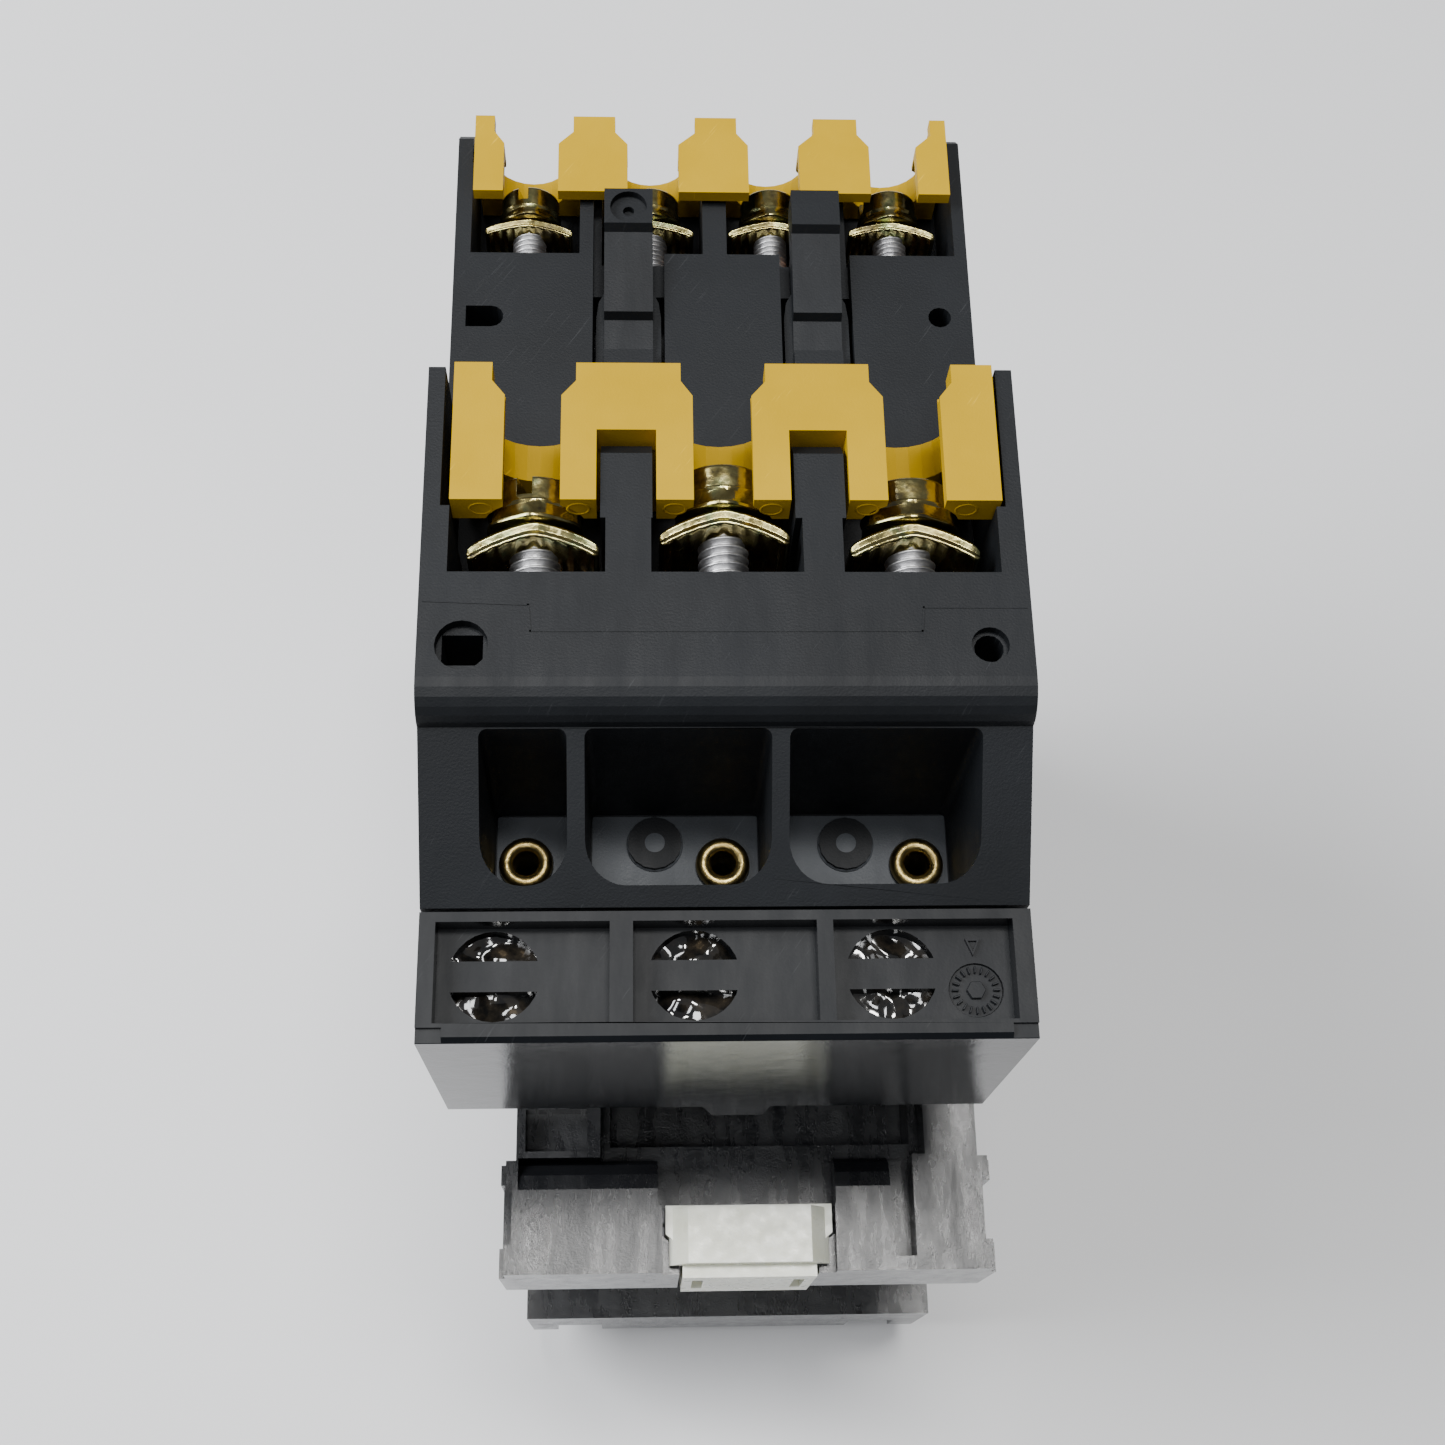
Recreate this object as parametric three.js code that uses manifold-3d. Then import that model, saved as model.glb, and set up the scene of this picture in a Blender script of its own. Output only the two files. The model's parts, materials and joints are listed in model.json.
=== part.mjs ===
// A 45 mm contactor for a DIN rail, standing on its line end, with a thermal overload relay
// plugged onto its load end. Millimetres, +Z up.
//
// Design coordinates: y = 0 is the plane of the rail side and +Y is the front of the device,
// z = 0 is the line end that it stands on, x = 0 is the middle plane of the relay.
// The exported group moves all of it so that the origin is the centre of the footprint.

import * as THREE from 'three';
import { mergeVertices } from 'three/addons/utils/BufferGeometryUtils.js';
import Module from 'manifold-3d';

const wasm = await Module();
wasm.setup();

// ---------------------------------------------------------------- driving dimensions

const WIDTH = 45; // both devices are one 45 mm module wide
const HALF = WIDTH / 2;
const GAP = 0.3; // clearance between neighbouring pieces
const CONTACTOR_X = 3.3; // the relay plugs onto the first three of four poles

const RAIL = { low: 20.3, high: 55.7, depth: 6.2, seat: 5.9, tongue: 4.6, lip: 1.7 };
const BASE = { low: 7, high: 69, flange: 10, front: 33.7, half: 21 };
const BODY = { high: 76, back: 34, front: 62 };
const COVER = { low: 11, high: 65, front: 84, wall: 1.8 };
const POLES = [-15.9, -5.3, 5.3, 15.9];
const TERMINAL_Z = 7; // height of a line screw; the load screws mirror it
const STEM = { half: 5.8, low: 31, high: 45 };
const MAGNET_Z = { low: 31, high: 45 };
const TRAVEL = 4; // closing travel of the armature and the moving contacts

const RELAY = { low: 78, top: 118, deck: 104.7, rear: 109, back: 12, front: 96 };
const REAR_SHELL = { front: 21.65, low: 83.5 };
const SLOPE = { start: 21.95, low: 108.9 };
const NOSE = { centre: 36.5, radius: 2.8 }; // the rounded edge between slope and near deck
const NEAR = { pocket: 44.9, opening: 50.4, front: 62.4, screwZ: 114, floor: RELAY.deck };
const FAR = { pocket: 82.6, opening: 87.6, screwZ: 101, floor: 96.3 };
const MAIN_X = [-14.3, 0, 14.3];
const AUX_X = [-16.2, -5.4, 5.4, 16.2];
const AUX_STRIP = [82.9, 83.8];
const AUX_PAIRS = [[-16.2, -5.4], [5.4, 16.2]]; // the two switches: normally closed, normally open

// ---------------------------------------------------------------- materials

const finish = (color, roughness, metalness = 0) =>
  new THREE.MeshStandardMaterial({ color, roughness, metalness });

const BLACK = finish(0x26282b, 0.55);
const BLACK_GLOSS = finish(0x141518, 0.3);
const YELLOW = finish(0xc9a95c, 0.5);
const NYLON = finish(0xd5d6c8, 0.45);
const RED = finish(0xb5343a, 0.45);
const BLUE = finish(0x2d5d9b, 0.45);
const GREY = finish(0x8b8e91, 0.5);
const ZINC = finish(0xb9ab74, 0.35, 0.9);
const BRASS = finish(0xb08d4c, 0.35, 0.9);
const COPPER = finish(0xb87a54, 0.4, 0.9);
const STEEL = finish(0x8d9095, 0.45, 0.9);

// ---------------------------------------------------------------- solids

function solid(geometry) {
  geometry.deleteAttribute('normal');
  geometry.deleteAttribute('uv');
  const welded = mergeVertices(geometry, 1e-4);
  const vertProperties = new Float32Array(welded.attributes.position.array);
  const triVerts = new Uint32Array(welded.index.array);
  return new wasm.Manifold(new wasm.Mesh({ numProp: 3, vertProperties, triVerts }));
}

function geometryOf(manifold) {
  const mesh = manifold.getMesh();
  const geometry = new THREE.BufferGeometry();
  geometry.setAttribute('position', new THREE.BufferAttribute(mesh.vertProperties, 3));
  geometry.setIndex(new THREE.BufferAttribute(mesh.triVerts, 1));
  geometry.computeVertexNormals();
  return geometry;
}

const join = (first, ...others) => others.reduce((all, one) => all.add(one), first);
const cut = (from, ...tools) => tools.reduce((rest, tool) => rest.subtract(tool), from);

// A box from three [low, high] pairs.
function block(x, y, z) {
  const geometry = new THREE.BoxGeometry(x[1] - x[0], y[1] - y[0], z[1] - z[0]);
  geometry.translate((x[0] + x[1]) / 2, (y[0] + y[1]) / 2, (z[0] + z[1]) / 2);
  return solid(geometry);
}

// A round bar. along is 'x', 'y' or 'z', centre holds the two other coordinates in order.
function rod(along, centre, radius, range, sides = 20) {
  const geometry = new THREE.CylinderGeometry(radius, radius, range[1] - range[0], sides);
  const middle = (range[0] + range[1]) / 2;
  const [a, b] = centre;
  if (along === 'x') geometry.rotateZ(Math.PI / 2).translate(middle, a, b);
  if (along === 'y') geometry.translate(a, middle, b);
  if (along === 'z') geometry.rotateX(Math.PI / 2).translate(a, b, middle);
  return solid(geometry);
}

// An outline extruded along an axis. Its points hold the two other coordinates in order.
function prism(along, outline, range) {
  const shape = outline instanceof THREE.Shape
    ? outline
    : new THREE.Shape(outline.map(([a, b]) => new THREE.Vector2(a, b)));
  const depth = range[1] - range[0];
  const geometry = new THREE.ExtrudeGeometry(shape, { depth, bevelEnabled: false, curveSegments: 4 });
  const axes = new THREE.Matrix4();
  const [ex, ey, ez] = [[1, 0, 0], [0, 1, 0], [0, 0, 1]].map((v) => new THREE.Vector3(...v));
  if (along === 'x') axes.makeBasis(ey, ez, ex).setPosition(range[0], 0, 0);
  if (along === 'y') axes.makeBasis(ex, ez, ey.clone().negate()).setPosition(0, range[1], 0);
  if (along === 'z') axes.setPosition(0, 0, range[0]);
  return solid(geometry.applyMatrix4(axes));
}

// A rectangle with a radius on each corner: low-low, high-low, high-high, low-high.
function rounded(a, b, radii) {
  const [p, q, r, s] = radii;
  const shape = new THREE.Shape();
  shape.moveTo(a[0] + p, b[0]);
  shape.lineTo(a[1] - q, b[0]);
  if (q) shape.absarc(a[1] - q, b[0] + q, q, -Math.PI / 2, 0, false);
  shape.lineTo(a[1], b[1] - r);
  if (r) shape.absarc(a[1] - r, b[1] - r, r, 0, Math.PI / 2, false);
  shape.lineTo(a[0] + s, b[1]);
  if (s) shape.absarc(a[0] + s, b[1] - s, s, Math.PI / 2, Math.PI, false);
  shape.lineTo(a[0], b[0] + p);
  if (p) shape.absarc(a[0] + p, b[0] + p, p, Math.PI, Math.PI * 1.5, false);
  return shape;
}

const around = (centre, half) => [centre - half, centre + half];

// The range from side * inner to side * outer, in rising order.
const onSide = (side, inner, outer) => (side > 0 ? [inner, outer] : [-outer, -inner]);

// A symmetrical outline from the points of its right half, listed from low to high.
const mirrored = (right) => [...right, ...right.map(([a, b]) => [-a, b]).reverse()];

// ---------------------------------------------------------------- the scene graph

const device = new THREE.Group();
const contactor = new THREE.Group();
const relay = new THREE.Group();
contactor.position.x = CONTACTOR_X;
device.add(contactor, relay);

function place(group, name, manifold, material, position = [0, 0, 0]) {
  const mesh = new THREE.Mesh(geometryOf(manifold), material);
  mesh.name = name;
  mesh.position.set(...position);
  group.add(mesh);
}

// ---------------------------------------------------------------- contactor: rail base and latch

const CAVITY = { half: 18.5, back: 8, low: 12, high: 57.5 };
const LATCH = { half: 7.5, neck: 6, front: 5.9, back: -0.4, low: 54, high: 68.6 };

// The latch and its channel share one outline, narrower at the rail side so that it can't fall out.
function latchOutline(clearance) {
  const half = LATCH.half + clearance;
  const neck = LATCH.neck + clearance;
  const front = LATCH.front + clearance;
  return mirrored([[neck, -2], [neck, 2.2], [half, 3.4], [half, front]]);
}

function railBase() {
  const flange = block([-HALF, HALF], [0, BASE.flange], [BASE.low, BASE.high]);
  const body = block([-BASE.half, BASE.half], [BASE.flange - 1, BASE.front], [BASE.low, BASE.high]);
  const outside = [-30, 30];
  const slot = block(outside, [-1, RAIL.seat], [RAIL.low + RAIL.lip, RAIL.high]);
  const undercuts = [[RAIL.low, RAIL.low + 2.3], [RAIL.high - 2.3, RAIL.high]].map((z) =>
    block(outside, [RAIL.tongue, RAIL.depth], z));
  const cavity = block(around(0, CAVITY.half), [CAVITY.back, 40], [CAVITY.low, CAVITY.high]);
  const channel = prism('z', latchOutline(GAP), [RAIL.high - 1, 80]);
  const thumbBay = block(around(0, LATCH.half + GAP), [-1, LATCH.front + GAP], [67.4, 80]);
  const endWindow = block([-12.6, 15.4], [11.8, 30], [59, 80]);
  const endWell = block([-13.4, 16.2], [10.2, 33], [64.5, 80]);
  const latchWell = block([-8.2, 7.9], [LATCH.front, 12], [64.5, 80]);
  const endRecess = block([-20.2, -14.6], [10.8, 14.6], [66.5, 80]);
  const padGroove = block([12.9, 15], [1.2, 11], [65.5, 80]);
  const { high } = BASE;
  const padEdge = prism('x', [
    [7.4, high + 1], [7.4, high], [8.7, high - 0.3],
    [9.7, high - 1.1], [10.21, high - 2.4], [10.21, high + 1],
  ], [-20.8, 15]);
  const sideSteps = [-1, 1].map((side) => block(onSide(side, 21.9, 24), [-1, 12], [66.2, 80]));
  const sideGroove = [-1, 1].map((side) =>
    block(around(side * 22.2, 0.9), [2.6, 8.2], [62, 80]));
  const footNotches = [-1, 1].map((side) => block(around(side * 17, 2.6), [0, 4], [BASE.low - 1, 13]));
  const railCuts = [slot, ...undercuts, channel, thumbBay, latchWell];
  const endCuts = [cavity, endWindow, endWell, endRecess, padGroove, padEdge];
  return cut(join(flange, body), ...railCuts, ...endCuts, ...sideSteps, ...sideGroove, ...footNotches);
}

function railLatch() {
  const plate = prism('z', latchOutline(0), [RAIL.high + GAP, LATCH.high]);
  const behind = block([-9, 9], [-3, LATCH.back], [50, 72]);
  const tongue = block(around(0, LATCH.neck), [0.2, RAIL.tongue], [LATCH.low, RAIL.high + 1]);
  const thumb = prism('y', [[-7.2, 68.2], [7.2, 68.2], [5.5, 70.2], [-5.5, 70.2]], [0.7, 5.6]);
  const springSlots = [-1, 1].map((side) => block(around(side * 4.6, 0.5), [-3, 7], [59, 66]));
  return cut(join(plate, tongue, thumb), behind, ...springSlots);
}

place(contactor, 'rail_base', railBase(), BLACK_GLOSS);
place(contactor, 'rail_latch', railLatch(), NYLON);

// ---------------------------------------------------------------- contactor: contact housing and cover

const CHAMBER = { half: 20.7, front: 57.5, low: 17, high: 59 };
const POCKET = { half: 4.4, back: 47, depth: 14.5 };

// The clear way for the stem of the contact carrier.
const stemWindow = (y) => block(around(0, STEM.half + GAP), y, [STEM.low - GAP, STEM.high + GAP]);

// Each pole has the same pocket at both ends: low = true is the line end.
function endRange(low, from, to) {
  return low ? [from, to] : [BODY.high - to, BODY.high - from];
}

function contactHousing() {
  const outer = block([-HALF, HALF], [BODY.back, BODY.front], [0, BODY.high]);
  const chamber = block(around(0, CHAMBER.half), [30, CHAMBER.front], [CHAMBER.low, CHAMBER.high]);
  const window = stemWindow([CHAMBER.front - 1, 64]);
  let body = cut(outer, chamber, window);
  for (const low of [true, false]) {
    for (const x of POLES) {
      const pocket = block(around(x, POCKET.half), [POCKET.back, 64], endRange(low, -1, POCKET.depth));
      const slot = block(around(x, 2.9), [48.3, 50.3], endRange(low, POCKET.depth - 1, CHAMBER.low + 1));
      const screwHole = rod('y', [x, low ? TERMINAL_Z : BODY.high - TERMINAL_Z], 2.1, [39, 48], 12);
      body = cut(body, pocket, slot, screwHole);
    }
    for (const x of [-10.6, 0, 10.6]) {
      const rib = block(around(x, 0.6), [47, CHAMBER.front + 1], endRange(low, CHAMBER.low - 1, 27));
      body = join(body, rib);
    }
  }
  return body;
}

function frontCover() {
  const { low, high, front, wall } = COVER;
  const back = BODY.front + GAP;
  const chamfer = 3;
  const outline = [
    [back, low], [front - chamfer, low], [front, low + chamfer],
    [front, high - chamfer], [front - chamfer, high], [back, high],
  ];
  const outer = prism('x', outline, [-HALF, HALF]);
  const inner = block(around(0, HALF - wall), [back - 1, front - wall], [low + wall, high - wall]);
  const window = stemWindow([front - wall - 1, front + 1]);
  const tabSlots = [-14, 14].map((x) => block(around(x, 3.6), [69.6, 75.2], [low - 1, low + wall + 1]));
  const grips = [-1, 1].map((side) => block(around(side * 17, 3), [front - 0.8, front + 1], [24, 52]));
  return cut(outer, inner, window, ...tabSlots, ...grips);
}

place(contactor, 'contact_housing', contactHousing(), BLACK);
place(contactor, 'front_cover', frontCover(), BLACK);

// ---------------------------------------------------------------- contactor: magnet, coil, moving contacts

const CORE = { half: 16, leg: 4, outerLeg: 11.5, back: 8.4, web: 14, tip: 28 };
const ARMATURE = { tip: CORE.tip + TRAVEL + 0.2, web: 38.5, front: 44 };
const BOBBIN = { half: 11, low: 25, high: 51, back: 14.4, front: 31.6, flange: 1 };
const BRIDGE = { back: 54.9, front: 56.1, low: 22, high: 54 };
const CARRIER = { half: 20, back: 46, front: 57.2, low: 35, high: 41 };

// An E-shaped core: a web from web[0] to web[1] with three legs that reach tip.
function eCore(web, tip) {
  const z = [MAGNET_Z.low, MAGNET_Z.high];
  const leg = [Math.min(tip, web[0]), Math.max(tip, web[1])];
  const side = [-1, 1].map((s) => {
    const x = [s * CORE.outerLeg, s * CORE.half].sort((a, b) => a - b);
    return block(x, leg, z);
  });
  return join(block(around(0, CORE.half), web, z), block(around(0, CORE.leg), leg, z), ...side);
}

function coilBobbin() {
  const z = [BOBBIN.low, BOBBIN.high];
  const flanges = [BOBBIN.back, BOBBIN.front - BOBBIN.flange].map((y) =>
    block(around(0, BOBBIN.half), [y, y + BOBBIN.flange], z));
  const tube = block(around(0, 5.4), [BOBBIN.back, BOBBIN.front], [29.6, 46.4]);
  const bore = block(around(0, CORE.leg + GAP), [0, 40], [MAGNET_Z.low - GAP, MAGNET_Z.high + GAP]);
  return cut(join(...flanges, tube), bore);
}

function coilWinding() {
  const y = [BOBBIN.back + BOBBIN.flange + GAP, BOBBIN.front - BOBBIN.flange - GAP];
  const outer = prism('y', rounded(around(0, 10.4), [25.6, 50.4], [3, 3, 3, 3]), y);
  return cut(outer, block(around(0, 5.7), [0, 40], [29.3, 46.7]));
}

function contactCarrier() {
  const { half, back, front, low, high } = CARRIER;
  const bar = block(around(0, half), [back, front], [low, high]);
  const stem = block(around(0, STEM.half), [front - 1, COVER.front - 0.6], [STEM.low, STEM.high]);
  const foot = block(around(0, 4.5), [ARMATURE.front + GAP, back + 1], [low, high]);
  const windows = POLES.map((x) => block(around(x, 3), [51.6, BRIDGE.front + GAP], [low - 1, high + 1]));
  return cut(join(bar, stem, foot), ...windows);
}

function movingBridge() {
  const strip = block([-2.6, 2.6], [BRIDGE.back, BRIDGE.front], [BRIDGE.low, BRIDGE.high]);
  const padY = [BRIDGE.back - 0.5, BRIDGE.back + 0.2];
  const pads = [BRIDGE.low + 2, BRIDGE.high - 2].map((z) => rod('y', [0, z], 1.7, padY, 8));
  return join(strip, ...pads);
}

// A bar bent into a loose coil round the middle leg of the core.
function returnSpring() {
  const turns = 3;
  const [start, end] = [BOBBIN.front + GAP, ARMATURE.web - GAP];
  const wire = 0.5;
  const middle = (MAGNET_Z.low + MAGNET_Z.high) / 2;
  class Helix extends THREE.Curve {
    getPoint(t, target = new THREE.Vector3()) {
      const angle = t * turns * Math.PI * 2;
      const y = start + wire + (end - start - 2 * wire) * t;
      return target.set(9.3 * Math.cos(angle), y, middle + 9.3 * Math.sin(angle));
    }
  }
  const section = new THREE.Shape().absarc(0, 0, wire, 0, Math.PI * 2, false);
  const options = { steps: turns * 10, extrudePath: new Helix(), curveSegments: 2 };
  return solid(new THREE.ExtrudeGeometry(section, options));
}

place(contactor, 'magnet_yoke', eCore([CORE.back, CORE.web], CORE.tip), STEEL);
place(contactor, 'coil_bobbin', coilBobbin(), NYLON);
place(contactor, 'coil_winding', coilWinding(), COPPER);
place(contactor, 'armature', eCore([ARMATURE.web, ARMATURE.front], ARMATURE.tip), STEEL);
place(contactor, 'contact_carrier', contactCarrier(), YELLOW);
place(contactor, 'return_spring', returnSpring(), STEEL);

// ---------------------------------------------------------------- contactor: terminals

// A fixed contact: the tab under the screw, the strip into the chamber and its contact pad.
function fixedContact(low) {
  const tab = block([-3.6, 3.6], [48.6, 50], endRange(low, 1.5, 13.4));
  const strip = block([-2.6, 2.6], [48.6, 50], endRange(low, 12.4, 26));
  const pad = rod('y', [0, low ? 24 : BODY.high - 24], 1.7, [49.8, 50.3], 12);
  const hole = rod('y', [0, low ? TERMINAL_Z : BODY.high - TERMINAL_Z], 2, [47, 51], 12);
  return cut(join(tab, strip, pad), hole);
}

// A slotted screw along +Y with the saddle clamp that it carries, at x = 0, z = 0.
// seat is where the clamp's ridge meets the head.
function saddleClamp(half, depth, drop, thickness, seat) {
  const low = seat - thickness;
  const outline = [
    [-half, low - drop], [0, low], [half, low - drop],
    [half, seat - drop], [0, seat], [-half, seat - drop],
  ];
  return prism('z', outline, [-depth, depth]);
}

function slottedScrew(shank, head, tail, seat, top) {
  const slot = block([-head, head], [top - 1.3, top + 1], [-0.5, 0.5]);
  const stud = rod('y', [0, 0], shank, [tail, seat + 0.5], 12);
  return cut(join(stud, rod('y', [0, 0], head, [seat, top], 16)), slot);
}

function clampScrew({ screw, clamp }) {
  const { shank, head, tail, seat, top } = screw;
  const { half, depth, drop, thickness } = clamp;
  const saddle = saddleClamp(half, depth, drop, thickness, seat + 0.1);
  return join(slottedScrew(shank, head, tail, seat, top), saddle);
}

const POWER_SCREW = {
  screw: { shank: 1.75, head: 3, tail: 41, seat: 53.4, top: 56.2 },
  clamp: { half: 3.7, depth: 3.2, drop: 0.5, thickness: 0.9 },
};

POLES.forEach((x, index) => {
  const pole = index + 1;
  place(contactor, `moving_bridge_${pole}`, movingBridge(), COPPER, [x, 0, 0]);
  for (const low of [true, false]) {
    const side = low ? 'line' : 'load';
    place(contactor, `${side}_terminal_${pole}`, fixedContact(low), COPPER, [x, 0, 0]);
    const z = low ? TERMINAL_Z : BODY.high - TERMINAL_Z;
    place(contactor, `${side}_screw_${pole}`, clampScrew(POWER_SCREW), ZINC, [x, 0, z]);
  }
});

function coilTab() {
  const blade = block([-3.1, 3.1], [71.6, 72.4], [5.5, 18]);
  return cut(blade, rod('y', [0, 8.5], 0.9, [70, 74], 10));
}

place(contactor, 'coil_terminal_a1', coilTab(), BRASS, [-14, 0, 0]);
place(contactor, 'coil_terminal_a2', coilTab(), BRASS, [14, 0, 0]);

// ---------------------------------------------------------------- relay: housing

const POSTS = [[-9.3, -5.4], [5.3, 9.1]];
const WIRE_POCKETS = [[-20.5, -8.9], [-5.5, 5.8], [8.8, 20.5]];
const AUX_POCKETS = [[-21.1, -11.6], [-9.7, -0.8], [1.3, 10.7], [12, 21.4]];
const EYELETS = [[-15.6, 29.3], [0.3, 29.2], [16.1, 29.1]];
const SLOPE_POCKETS = [[-18.1, -11.7], [-10.4, 3.3], [4.6, 18.8]];
const SLOPE_POCKET = { near: 23.4, far: 33.6, floor: 96 };
const BUMPS = [[-5.2, 31], [10.4, 30.9]];
const HEATER = { back: 43.4, front: 44.6, top: 114.8 };
const HOOK = { half: 2.1, root: 64.5, low: 99, step: 79, lip: 103.2 };
const HOOK_X = [-7.3, 9];
const BUTTON = { stop: [5.6, 92.2, 2.9], reset: [14.5, 86.5, 2.6], dial: [-8.5, 87, 4.6] };
const RELAY_CAVITY = { half: 20.3, back: 36, front: 60, high: 101 };

function relayOutside() {
  const { low, top, deck, front } = RELAY;
  const { centre, radius } = NOSE;
  const steps = 6;
  const nose = Array.from({ length: steps + 1 }, (_, step) => {
    const angle = (Math.PI / 2) * (1 + step / steps);
    return [centre + radius * Math.cos(angle), top - radius + radius * Math.sin(angle)];
  });
  const side = [
    [SLOPE.start, low + 6], [34.3, low + 6], [34.3, low], [front, low],
    [front, deck - 1.2], [front - 1.2, deck],
    [NEAR.front, deck], [NEAR.front, top], ...nose, [SLOPE.start, SLOPE.low],
  ];
  return prism('x', side, [-HALF, HALF]);
}

function nearDeckCuts() {
  const wall = 1.3;
  const guardBay = block([-HALF + wall, HALF - wall], [NEAR.opening, 70], [NEAR.floor, 130]);
  const pockets = WIRE_POCKETS.map((x) => block(x, [NEAR.pocket, 70], [NEAR.floor, 130]));
  const screwHoles = MAIN_X.map((x) => rod('y', [x, NEAR.screwZ], 2.3, [35.2, 46], 12));
  return [guardBay, ...pockets, ...screwHoles];
}

function farDeckCuts() {
  const pockets = AUX_POCKETS.map((x) => block(x, [FAR.pocket, 100], [FAR.floor, 130]));
  const guardBay = block([-21.2, 21.4], [FAR.opening + 4.6, 100], [FAR.floor, 130]);
  const screwHoles = AUX_X.map((x) => rod('y', [x, FAR.screwZ], 1.8, [80.2, 84], 12));
  const hookChannels = HOOK_X.flatMap((x) => [
    block(around(x, 3.1), [63.4, HOOK.step + GAP], [HOOK.low - 1, 130]),
    block(around(x, 3.1), [HOOK.step, 89.5], [HOOK.lip - GAP, 130]),
  ]);
  const stripSlots = AUX_PAIRS.map((x) => block(x, [FAR.pocket, 84.8], [FAR.floor, 98.2]));
  return [...pockets, guardBay, ...screwHoles, ...hookChannels, ...stripSlots];
}

function slopePocket(x, index) {
  const round = [3, 3, 0.6, 0.6];
  const { near, far, floor } = SLOPE_POCKET;
  const pit = prism('z', rounded(x, [near, far], round), [floor, 130]);
  const [ex, ey] = EYELETS[index];
  return join(pit, rod('z', [ex, ey], 1.8, [88, floor + 1], 14));
}

function deckHoles() {
  const [x, y] = [19.25, 39];
  const near = [110, RELAY.top];
  const far = [98, 110];
  const nearLeft = join(rod('z', [-x, y], 1.95, [117, 120]), block(around(-x, 1.5), around(y, 1.2), near));
  const nearRight = join(rod('z', [x, y], 1.4, [117.2, 120]), rod('z', [x, y], 1.1, near, 14));
  const farLeft = join(block([-21.3, -19.1], [75, 77.1], far), rod('z', [-19.1, 76.05], 1.04, far, 14));
  const farRight = rod('z', [19.7, 76.2], 1, far, 14);
  return [nearLeft, nearRight, farLeft, farRight];
}

function relayHousing() {
  const { half, back, front, high } = RELAY_CAVITY;
  const cavity = block(around(0, half), [back, front], [70, high]);
  const stripSlots = MAIN_X.map((x) => join(
    block(around(x, 4.9), [HEATER.back - GAP, HEATER.front + 2.3], [100, NEAR.floor + 0.1]),
    block(around(x, 4.9), [HEATER.back - GAP, NEAR.pocket + 0.1], [100, HEATER.top + 0.2]),
  ));
  const buttons = Object.values(BUTTON).map(([x, z, radius]) =>
    rod('y', [x, z], radius + GAP, [86, 100], 20));
  const body = cut(relayOutside(), ...nearDeckCuts(), ...farDeckCuts(), ...SLOPE_POCKETS.map(slopePocket),
    ...deckHoles(), cavity, ...stripSlots, ...buttons);
  const posts = POSTS.map((x) => {
    const [foot, start, end] = [NEAR.floor - 1, NEAR.opening - 1, 56.3];
    const outline = [[start, foot], [end, foot], [end, 116.6], [54.9, RELAY.top], [start, RELAY.top]];
    return prism('x', outline, x);
  });
  const { floor } = SLOPE_POCKET;
  const bumps = BUMPS.map(([x, y]) => rod('z', [x, y], 2.2, [floor - 1, floor + 0.7], 16));
  return join(body, ...posts, ...bumps);
}

// ---------------------------------------------------------------- relay: rear shell

const RECESSES = [[-21.3, -8.6], [-6.9, 6.6], [7.8, 21.1]];
const PORTS = [[-17.1, 17.3], [-2.4, 17.3], [12.2, 17.3]];
const PORT = { radius: 3.4, bar: 1.15 };
const MOULD_MARK = { x: 18.4, y: 16, radius: 2.05 };

function rearShell() {
  const { back, rear } = RELAY;
  const { front, low } = REAR_SHELL;
  const outline = [[back, low], [back, rear - 0.4], [back + 0.4, rear], [front, rear], [front, low]];
  const outer = prism('x', outline.reverse(), [-HALF, HALF]);
  const inner = block(around(0, HALF - 1.5), [back + 1.5, front + 1], [low - 1, rear - 4]);
  const recesses = RECESSES.map((x) => block(x, [13.4, 20.9], [rear - 2, rear + 1]));
  const ports = PORTS.map(([x, y]) => {
    const hole = rod('z', [x, y], PORT.radius, [rear - 6, rear - 1], 28);
    return cut(hole, block(around(x, 5), around(y, PORT.bar), [rear - 8, rear]));
  });
  const mark = rod('z', [MOULD_MARK.x, MOULD_MARK.y], MOULD_MARK.radius, [rear - 2.3, rear], 24);
  const tabOutline = [[-1.4, low + 1], [-0.3, low - 4], [4, low - 4], [4.7, low + 1]];
  const tab = prism('y', tabOutline, [back, back + 1.3]);
  const corners = [-1, 1].map((side) =>
    block(onSide(side, 20.6, HALF + 1), [back - 1, 13.1], [rear - 0.35, rear + 1]));
  return cut(join(outer, tab), inner, ...recesses, ...ports, mark, ...corners);
}

place(relay, 'relay_housing', relayHousing(), BLACK);
place(relay, 'relay_rear_shell', rearShell(), BLACK_GLOSS);

// ---------------------------------------------------------------- relay: yellow finger guards

const MAIN_GUARD = { top: 118.4, under: 115.4, back: 50.7, body: 60.1, tab: 62.6, low: 105 };
const MAIN_PILLARS = [
  { x: [-20.5, -16.6], tab: [-20.5, -17.6] },
  { x: [-12.3, -2.3], tab: [-11.2, -3.2] },
  { x: [2.2, 12.3], tab: [3.3, 11.3] },
  { x: [16.7, 20.9], tab: [17.7, 20.9] },
];
const AUX_GUARD = { top: 106.4, under: 105.2, back: 87.9, body: 93.4, tab: 96, low: 96.6, bar: [92.6, 95.4] };
const AUX_PILLARS = [
  { x: [-20.9, -18.3], tab: [-20.9, -19.2] },
  { x: [-13.5, -7.4], tab: [-12.2, -8.5] },
  { x: [-2.9, 3.3], tab: [-1.4, 2.3] },
  { x: [7.8, 14.1], tab: [9.2, 13.1] },
  { x: [18.3, 21.1], tab: [19.7, 21.1] },
];

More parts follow.
